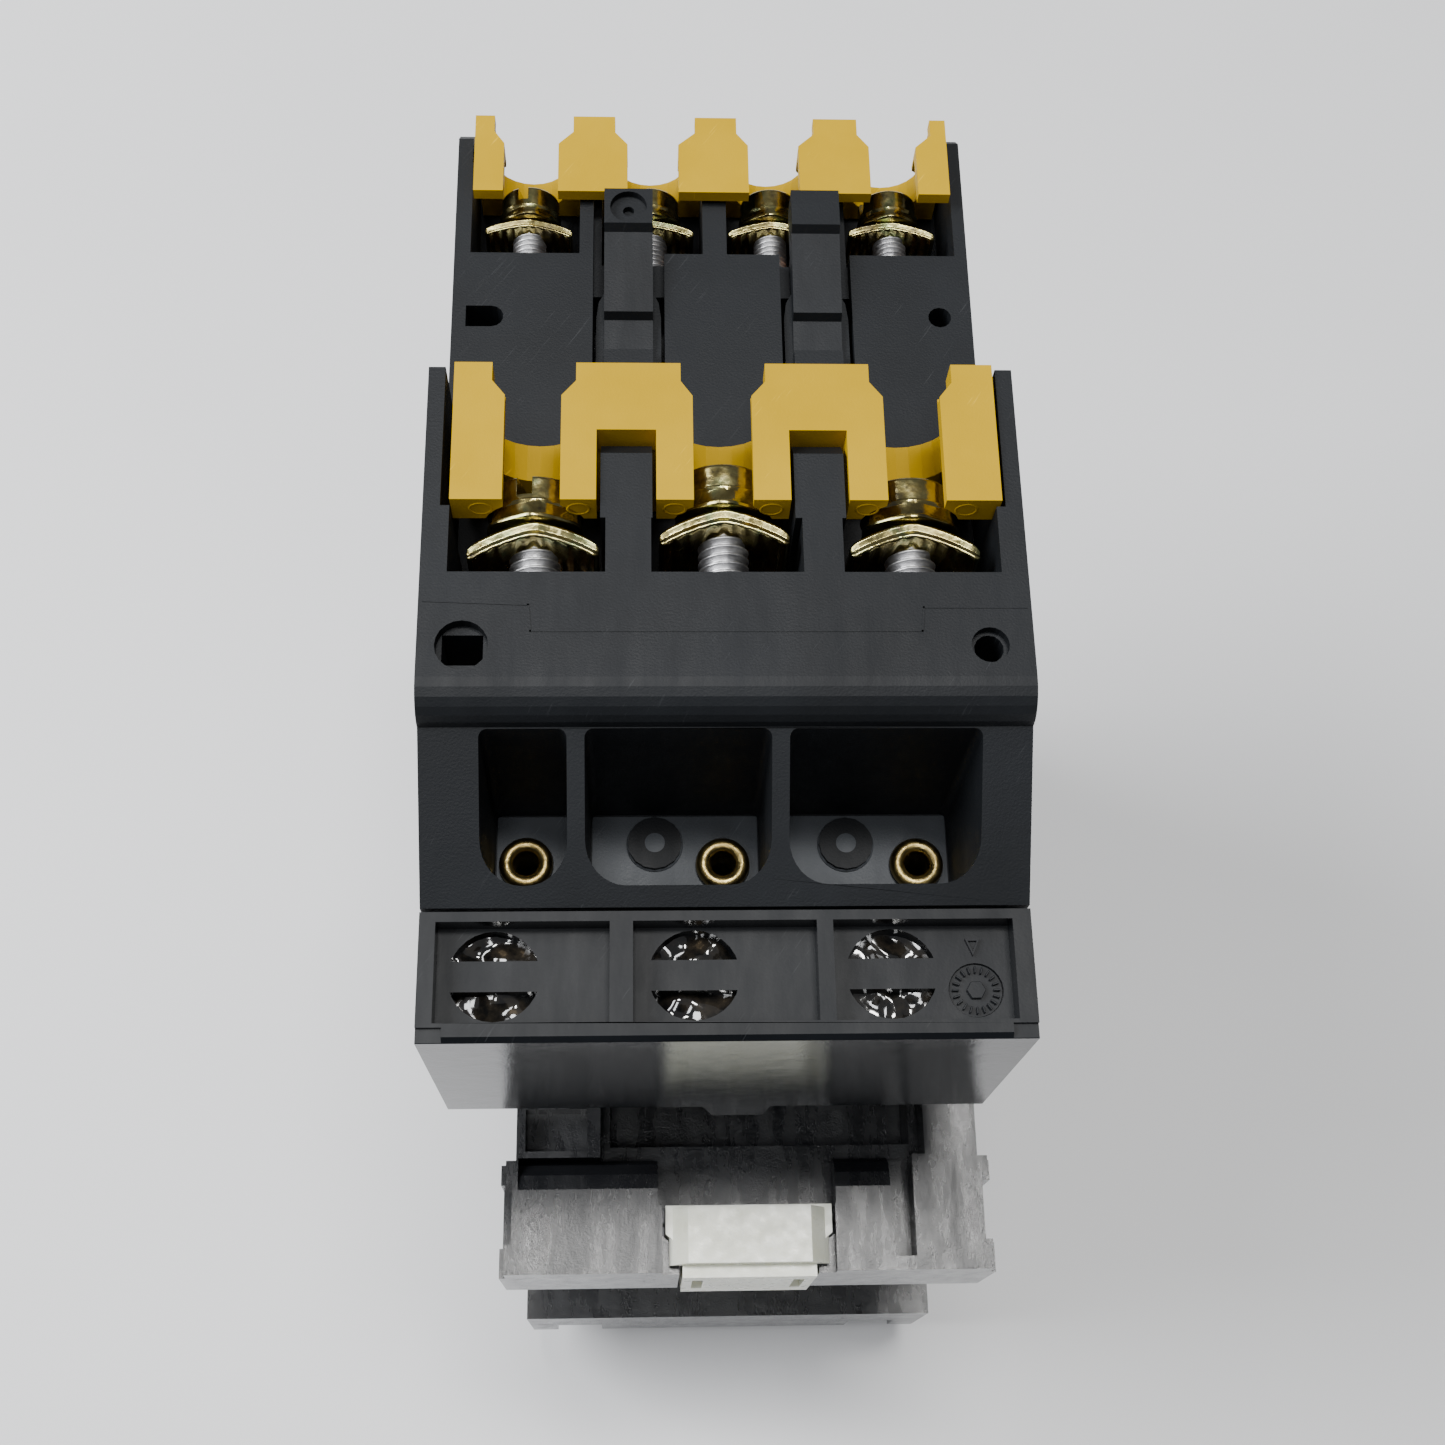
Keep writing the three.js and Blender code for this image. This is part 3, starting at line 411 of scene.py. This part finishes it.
def turned(profile, centre, sides=48, along="y"):
    """Vertices and faces of a solid of revolution. profile holds (distance along the axis, radius) in mm."""
    vertices = []
    for distance, radius in profile:
        for i in range(sides):
            angle = 2 * math.pi * i / sides
            a, b = radius * math.cos(angle), radius * math.sin(angle)
            offset = (a, distance, b) if along == "y" else (a, b, distance)
            vertices.append(centre + Vector(offset) * MM)
    count = len(profile)
    faces = ring_faces(count, sides)
    faces.append(tuple(range(sides)))
    faces.append(tuple((count - 1) * sides + i for i in range(sides)))
    return vertices, faces


def ring(profile, centre, sides=48):
    """A closed ring round a vertical axis from a closed profile of (height, radius) in mm."""
    vertices = []
    for height, radius in profile:
        for i in range(sides):
            angle = 2 * math.pi * i / sides
            offset = Vector((radius * math.cos(angle), radius * math.sin(angle), height))
            vertices.append(centre + offset * MM)
    return vertices, ring_faces(len(profile), sides, closed=True)


def bar(x, y, z):
    """Vertices and faces of a box from three (low, high) pairs in design millimetres."""
    vertices = [at(a, b, c) for c in z for b in y for a in x]
    faces = [(0, 2, 3, 1), (4, 5, 7, 6), (0, 1, 5, 4), (2, 6, 7, 3), (0, 4, 6, 2), (1, 3, 7, 5)]
    return vertices, faces


def merged(parts):
    """One vertex and face list from several."""
    vertices, faces = [], []
    for some_vertices, some_faces in parts:
        start = len(vertices)
        vertices += some_vertices
        faces += [tuple(start + i for i in face) for face in some_faces]
    return vertices, faces


def swept(outline, low, high, place):
    """An outline of (a, b) points swept from low to high; place(a, b, c) gives the point in space."""
    count = len(outline)
    vertices = [place(a, b, c) for c in (low, high) for a, b in outline]
    faces = [tuple(range(count)), tuple(range(count, 2 * count))]
    faces += [(i, (i + 1) % count, count + (i + 1) % count, count + i) for i in range(count)]
    return vertices, faces


def trimmed(made, vertices, faces, operation="DIFFERENCE"):
    """Cuts a closed shape out of a piece, for good."""
    mesh = bpy.data.meshes.new("cutter")
    mesh.from_pydata([tuple(v) for v in vertices], [], faces)
    tidy = bmesh.new()
    tidy.from_mesh(mesh)
    bmesh.ops.recalc_face_normals(tidy, faces=tidy.faces)
    tidy.to_mesh(mesh)
    tidy.free()
    cutter = bpy.data.objects.new("cutter", mesh)
    bpy.context.scene.collection.objects.link(cutter)
    cut = made.modifiers.new("Cut", "BOOLEAN")
    cut.operation = operation
    cut.solver = "EXACT"
    cut.object = cutter
    bpy.context.view_layer.update()
    result = bpy.data.meshes.new_from_object(made.evaluated_get(bpy.context.evaluated_depsgraph_get()))
    made.modifiers.remove(cut)
    old = made.data
    made.data = result
    bpy.data.meshes.remove(old)
    bpy.data.objects.remove(cutter)
    return made


# ------------------------------------------------------------------ CAD nodes that stay

# The rounding of each moulded piece's edges, in mm; every other node gets DEFAULT_EDGE.
EDGE = {"relay_housing": 0.28, "relay_rear_shell": 0.22, "rail_base": 0.3, "contact_housing": 0.35,
        "front_cover": 0.6, "rail_latch": 0.35, "main_guard": 0.16, "aux_guard": 0.14, "snap_hook_1": 0.25,
        "snap_hook_2": 0.25, "stop_button": 0.3, "reset_button": 0.3, "current_dial": 0.25}
DEFAULT_EDGE = 0.12


def finish_cad_nodes():
    for name, node in nodes.items():
        material = {"coil_winding": "winding", "rail_base": "base_gloss"}.get(name, slot_of[name])
        node.data.materials.clear()
        node.data.materials.append(MATERIALS[material])
        node.data.polygons.foreach_set("use_smooth", [True] * len(node.data.polygons))
        soften(node, EDGE.get(name, DEFAULT_EDGE), 2 if name in EDGE else 1)


finish_cad_nodes()


# ------------------------------------------------------------------ terminal screws and clamps

def threaded_rod(name, centre, low, high, radius, pitch, body):
    """A threaded shank along Y between low and high, in metres, with a run-out at its tip."""
    sides, rings_per_turn = 28, 8
    depth = 0.66 * pitch
    rings = max(4, int((high - low) / (pitch * MM) * rings_per_turn))
    vertices = []
    for k in range(rings + 1):
        y = low + (high - low) * k / rings
        turns = (y - low) / (pitch * MM)
        for i in range(sides):
            share = (turns + i / sides) % 1.0
            flank = min(1.0, max(0.0, 1.7 * abs(2 * share - 1) - 0.35))
            tip = min(1.0, (y - low) / (pitch * MM) + 0.35)
            r = (radius - depth * flank) * (0.8 + 0.2 * tip)
            angle = 2 * math.pi * i / sides
            x, z = centre.x + r * MM * math.cos(angle), centre.z + r * MM * math.sin(angle)
            vertices.append(Vector((x, y, z)))
    faces = ring_faces(rings + 1, sides)
    faces.append(tuple(range(sides)))
    faces.append(tuple(rings * sides + i for i in range(sides)))
    return piece(name, vertices, faces, "zinc_grey", body, "zinc_plate")


def screw_head(name, centre, seat, top, radius, body, slot_turn=0.0, collar=None):
    """A slotted cheese head with a rounded rim; seat and top are y in metres. Below it sits a cone
    of collar mm, (height, outer radius), whose skirt is a little out of round."""
    height = (top - seat) / MM
    rim, rim_steps = 0.35, 4
    profile = [(0, 0.6 * radius), (0, radius - 0.12), (0.12, radius)]
    if collar:
        tall, wide = collar
        profile = [(0, 0.6 * radius), (0, wide - 0.3), (0.12, wide), (0.35, wide + 0.02), (0.5, wide - 0.12),
                   (tall - 0.35, radius + 0.10), (tall - 0.12, radius + 0.16), (tall, radius - 0.03),
                   (tall + 0.15, radius - 0.06)]
    for k in range(rim_steps + 1):
        angle = k / rim_steps * math.pi / 2
        profile.append((height - rim + rim * math.sin(angle), radius - rim + rim * math.cos(angle)))
    profile.append((height, 0.4 * radius))
    foot = Vector((centre.x, seat, centre.z))
    head = piece(name, *turned(profile, foot), "zinc_plate", body, "zinc_plate")
    if collar:
        uneven = 0.03
        for vertex in head.data.vertices:
            offset = vertex.co - foot
            out = Vector((offset.x, offset.z)).length
            if offset.y < (collar[0] - 0.2) * MM and out > 0.9 * radius * MM:
                lump = noise.noise(offset / MM * 0.55 + Vector((centre.x / MM, 0, 0)))
                facet = 1 - uneven * (1 + math.cos(6 * math.atan2(offset.z, offset.x))) + uneven * lump
                vertex.co.x = centre.x + offset.x * facet
                vertex.co.z = centre.z + offset.z * facet
    slot_half, slot_depth, reach = 0.17 * radius, 0.42 * height, 1.2 * radius
    block, faces = bar((-reach, reach), (-slot_depth, 1), (-slot_half, slot_half))
    turn = Matrix.Rotation(math.radians(slot_turn), 4, "Y")
    home = at(0, 0, 0)
    corners = [Vector((centre.x, top, centre.z)) + turn @ (corner - home) for corner in block]
    trimmed(head, corners, faces)
    soften(head, 0.1, 2, 40, flatten=False)
    return head


def saddle(name, centre, ridge, half, depth, drop, thickness, body, tilt=0.0):
    """A pressed saddle clamp: a roof-shaped plate with hollowed wings, a grooved rim and ribs on its
    gripping side. ridge is the y of its top in metres, tilt its lean in degrees; the rest is in mm."""
    across = 40
    lean = math.tan(math.radians(tilt))

    def fall(u):
        """How far the plate has fallen at u, which runs from -1 to 1 across it."""
        bend = (math.sqrt(u * u + 0.005) - 0.07) / 0.93
        hollow = 0.10 * math.sin(min(1.0, abs(u)) * math.pi)
        return drop * (bend - hollow) - half * u * lean

    def rim(w_side):
        """The rim's section from top face to gripping face, as (outward, down) pairs."""
        section = [(-0.30, 0.0), (-0.08, 0.06), (0.0, 0.2), (-0.26, 0.5), (-0.02, 0.76), (-0.02, 0.90),
                   (-0.25, 1.0)]
        return [(w_side * (depth + out), down * thickness) for out, down in section]

    loop = rim(1) + [(0.0, thickness)] + list(reversed(rim(-1))) + [(0.0, 0.0)]
    vertices = []
    for i in range(across + 1):
        u = -1 + 2 * i / across
        narrow = 1 - 0.07 * abs(u) ** 8
        tip = 0.06
        shrink = 1 - 0.45 * max(0.0, abs(u) - 1 + tip) / tip
        for z, down in loop:
            core = thickness / 2
            y = -fall(u) - (core + (down - core) * shrink)
            if down == thickness:
                y += RIB * math.cos(i * math.pi / 2)
            vertices.append(Vector((centre.x + half * u * MM, ridge + y * MM, centre.z + z * narrow * MM)))
    sides = len(loop)
    faces = ring_faces(across + 1, sides)
    faces.append(tuple(range(sides)))
    faces.append(tuple(across * sides + i for i in range(sides)))
    plate = piece(name, vertices, faces, "zinc_plate", body, "zinc_plate")
    soften(plate, 0.05, 1, 50, flatten=False)
    return plate


# The height of the ribs on a clamp's gripping side.
RIB = 0.08
# The main screws: shank radius and pitch, the collar's height and radius, and the saddle's half depth,
# drop and thickness.
M4 = (1.95, 0.7)
MAIN_COLLAR = (1.75, 3.85)
MAIN_SADDLE = (3.3, 1.9, 1.35)
# How far round each screw's slot was left, and how far each clamp leans, in degrees by pole.
SLOT_TURNS = {1: 78, 2: 4, 3: -12, 4: 20}
LEANS = {1: 1.8, 2: 0.5, 3: -1.2, 4: 2.0}


def main_terminal(number):
    screw, clamp = f"main_screw_{number}", f"main_clamp_{number}"
    low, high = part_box(screw)
    centre = (low + high) / 2
    clamp_low, clamp_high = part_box(clamp)
    radius = (high.x - low.x) / 2 / MM
    seat = clamp_high.y + 0.05 * MM
    threaded_rod(f"{screw}_thread", centre, low.y, seat + 0.2 * MM, *M4, screw)
    head = screw_head(f"{screw}_head", centre, seat, high.y, radius, screw, SLOT_TURNS[number], MAIN_COLLAR)
    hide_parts(screw)
    half = (clamp_high.x - clamp_low.x) / 2 / MM
    plate = saddle(f"{clamp}_plate", centre, seat - 0.05 * MM, half, *MAIN_SADDLE, clamp, LEANS[number])
    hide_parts(clamp)


def sems_screw(node, number, pitch, shank, head_height, half, depth, drop):
    """A screw with its captive collar and clamp, all on one body. All sizes are in mm: the thread's
    pitch and radius, the head's height, and the clamp's half width, half depth and drop."""
    low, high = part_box(node)
    centre = (low + high) / 2
    seat = high.y - head_height * MM
    radius = depth + 0.4
    threaded_rod(f"{node}_thread", centre, low.y, seat + 0.2 * MM, shank, pitch, node)
    collar = (1.3, radius + 0.25)
    under = seat - 0.4 * MM
    head = screw_head(f"{node}_head", centre, under, high.y, radius, node, SLOT_TURNS[number], collar)
    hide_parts(node)
    thickness = 0.9
    saddle(f"{node}_clamp", centre, seat - 0.42 * MM, half, depth, drop, thickness, node, -LEANS[number])


for number in MAIN:
    main_terminal(number)
for number in POLES:
    sems_screw(f"aux_screw_{number}", number, 0.5, 1.5, 2.8, 3.85, 2.2, 1.0)
    sems_screw(f"line_screw_{number}", number, 0.6, 1.75, 2.7, 3.65, 2.6, 0.6)
    sems_screw(f"load_screw_{number}", number, 0.6, 1.75, 2.7, 3.65, 2.6, 0.6)


# ------------------------------------------------------------------ eyelets, compound and mould marks

def eyelet(node):
    """A rolled brass eyelet: a round collar that turns down into its barrel."""
    low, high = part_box(node)
    centre = Vector(((low.x + high.x) / 2, (low.y + high.y) / 2, 0))
    outer = (high.x - low.x) / 2 / MM
    top, bottom = high.z / MM, low.z / MM
    bore, barrel, roll = 0.95, 1.45, 0.62
    roll_steps = 8
    profile = [(bottom, bore), (bottom, barrel), (top - 1.0, barrel), (top - 1.0, outer - 0.35)]
    for k in range(roll_steps + 1):
        angle = math.pi * (1.35 * k / roll_steps - 0.35)
        profile.append((top - roll + roll * math.sin(angle), outer - roll + roll * math.cos(angle)))
    profile += [(top - 0.55, bore + 0.12), (top - 1.1, bore)]
    collar = piece(f"{node}_collar", *ring(profile, centre), "brass", "device", "brass")
    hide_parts(node)


def compound(name, x, y, top, radius):
    """A lumpy pool of sealing compound under a port. Its lumps are smooth noise, and its centre ring
    is welded to one point."""
    centre = at(x, y, top)
    sides, rings, thickness = 40, 12, 2.2
    vertices = []
    for k in range(rings + 1):
        r = radius * k / rings
        for i in range(sides):
            angle = 2 * math.pi * i / sides
            px, py = r * math.cos(angle), r * math.sin(angle)
            lump = noise.noise(Vector((px * 0.55 + x, py * 0.55 + y, 0.3)))
            fine = noise.noise(Vector((px * 2.1 + x, py * 2.1, 4.7)))
            vertices.append(centre + Vector((px, py, 0.95 * lump + 0.12 * fine - 0.35)) * MM)
    faces = ring_faces(rings + 1, sides)
    bottom = len(vertices)
    vertices += [v - Vector((0, 0, thickness * MM)) for v in vertices[-sides:]]
    edge = bottom - sides
    faces += [(edge + i, edge + (i + 1) % sides, bottom + (i + 1) % sides, bottom + i) for i in range(sides)]
    faces.append(tuple(bottom + i for i in range(sides)))
    faces = [face for face in faces if not all(i < sides for i in face)]
    pool = piece(name, vertices, faces, "compound", "device", "black_gloss")
    weld = pool.modifiers.new("Centre", "WELD")
    weld.merge_threshold = 0.01 * MM
    return pool


def date_clock():
    """A generic mould insert mark: a ring of ticks round a hexagonal stub, with no characters."""
    x, y, floor = 18.4, 16.0, 106.72
    disc, inner, outer, half_tick, stub_radius = 2.0, 1.28, 1.80, 0.07, 0.72
    ticks = 20
    parts = [turned([(floor, disc), (floor + 0.06, disc)], at(x, y, 0), 48, "z")]
    corners = [(inner, -half_tick), (outer, -half_tick), (outer, half_tick), (inner, half_tick)]
    for k in range(ticks):
        angle = 2 * math.pi * k / ticks
        out = Vector((math.cos(angle), math.sin(angle)))
        across = Vector((-out.y, out.x))
        outline = [(x + out.x * r + across.x * s, y + out.y * r + across.y * s) for r, s in corners]
        parts.append(swept(outline, floor, floor + 0.40, at))
    stub = []
    for k in range(6):
        angle = k * math.pi / 3
        stub.append((x + stub_radius * math.cos(angle), y + stub_radius * math.sin(angle)))
    parts.append(swept(stub, floor, floor + 0.42, at))
    mark = piece("mould_mark", *merged(parts), "black_gloss", "device", "black_gloss", smooth=False)
    soften(mark, 0.03, 1, 40, flatten=False)


def triangle_mark():
    """A small raised outline triangle beside the mould mark."""
    outer = [(17.75, 19.85), (18.85, 19.85), (18.3, 18.55)]
    x, y, share = 18.3, 19.42, 0.62
    inner = [(x + (a - x) * share, y + (b - y) * share) for a, b in outer]
    low, high = 106.98, 107.28
    vertices = [at(a, b, c) for c in (low, high) for a, b in outer + inner]
    faces = []
    for i in range(3):
        j = (i + 1) % 3
        faces += [(i, j, 3 + j, 3 + i), (6 + i, 6 + j, 9 + j, 9 + i)]
        faces += [(i, j, 6 + j, 6 + i), (3 + i, 3 + j, 9 + j, 9 + i)]
    piece("triangle_mark", vertices, faces, "black_gloss", "device", "black_gloss", smooth=False)


def seam(name, points, z, width=0.14, height=0.05):
    """The fine raised witness line of a mould insert, along straight runs at height z."""
    parts = []
    for (ax, ay), (bx, by) in zip(points, points[1:]):
        direction = Vector((bx - ax, by - ay)).normalized() * width / 2
        side = Vector((-direction.y, direction.x))
        start, end = Vector((ax, ay)) - direction, Vector((bx, by)) + direction
        outline = [start + side, start - side, end - side, end + side]
        parts.append(swept([tuple(p) for p in outline], z - 0.05, z + height, at))
    for index, part in enumerate(parts):
        piece(f"{name}_{index + 1}", *part, "black_plastic", "device", "black_plastic", smooth=False)


def pocket_floor(number, x, dome):
    """The moulded plate at the bottom of a test pocket, with a hole for the eyelet's barrel. dome is the
    (x, y) of a low round boss inside a raised ring, or None where there is no boss."""
    low, high, corner, floor = 23.55, 33.45, 2.9, 96.0
    outline = []
    for cx, start in ((x[0] + corner, 180), (x[1] - corner, 270)):
        for k in range(9):
            angle = math.radians(start + 90 * k / 8)
            outline.append((cx + corner * math.cos(angle), low + corner + corner * math.sin(angle)))
    outline += [(x[1], high), (x[0], high)]
    # The plate's lighter grey is painted light, not the plastic's own colour.
    plate = piece(f"test_pocket_floor_{number}", *swept(outline, floor - 0.03, floor + 0.07, at),
                  "pocket_floor", "device", "black_plastic", smooth=True)
    low_corner, high_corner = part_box(f"eyelet_{number}")
    barrel = (low_corner + high_corner) / 2
    barrel.z = 0
    hole = 1.5
    trimmed(plate, *turned([(floor - 1, hole), (floor + 1, hole)], barrel, 48, "z"))
    soften(plate, 0.03, 1, 40, flatten=False)
    if not dome:
        return
    profile = [(0.02, 2.32), (0.16, 2.30), (0.26, 2.14), (0.20, 1.98), (0.10, 1.90)]
    for k in range(8):
        angle = k / 8 * math.pi / 2
        profile.append((0.10 + 0.62 * math.sin(angle), 1.82 * math.cos(angle)))
    raised = [(height + floor + 0.05, radius) for height, radius in profile]
    # The boss takes the same lighter grey, which is painted light.
    boss = piece(f"test_pocket_boss_{number}", *turned(raised, at(*dome, 0), 48, "z"),
                 "pocket_floor", "device", "black_plastic")
    soften(boss, 0.03, 1, 60, flatten=False)


def ejector_mark(index, x):
    """The round witness of an ejector pin on the end of a guard's leg."""
    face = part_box("main_guard")[0].y
    vertices = []
    section = [(0.0, 0.70), (-0.04, 0.76), (-0.04, 0.86), (0.0, 0.92)]
    sides, height = 32, 116.9
    for out, radius in section:
        for k in range(sides):
            angle = 2 * math.pi * k / sides
            spot = at(x + radius * math.cos(angle), 0, height + radius * math.sin(angle))
            vertices.append(Vector((spot.x, face + out * MM, spot.z)))
    piece(f"ejector_mark_{index}", vertices, ring_faces(len(section), sides, closed=True),
          "yellow_plastic", "device", "yellow_plastic")


# Design millimetres: each test pocket's (low, high) x and its boss's (x, y), the middles of the main
# guard's legs, and the middles of the ports that are filled with compound.
POCKETS = (((-18.0, -11.8), None), ((-10.3, 3.2), (-5.2, 31)), ((4.7, 18.7), (10.4, 30.9)))
GUARD_LEGS = (-18.3, -10.95, -3.7, 3.6, 10.85, 18.4)
PORTS = (-17.1, -2.4, 12.2)
PORT_Y, COMPOUND_TOP, COMPOUND_RADIUS = 17.3, 105.9, 3.9
DECK_SEAM = [(-22.1, 42.5), (-14.5, 42.2), (-14.3, 40.1), (14.3, 40.1), (14.5, 42.0), (22.1, 42.0)]
DECK = 118

for number in MAIN:
    eyelet(f"eyelet_{number}")
for number, (x, dome) in enumerate(POCKETS, 1):
    pocket_floor(number, x, dome)
for index, x in enumerate(GUARD_LEGS, 1):
    ejector_mark(index, x)
for number, x in enumerate(PORTS, 1):
    compound(f"sealing_compound_{number}", x, PORT_Y, COMPOUND_TOP, COMPOUND_RADIUS)
date_clock()
triangle_mark()
seam("deck_seam", DECK_SEAM, DECK)
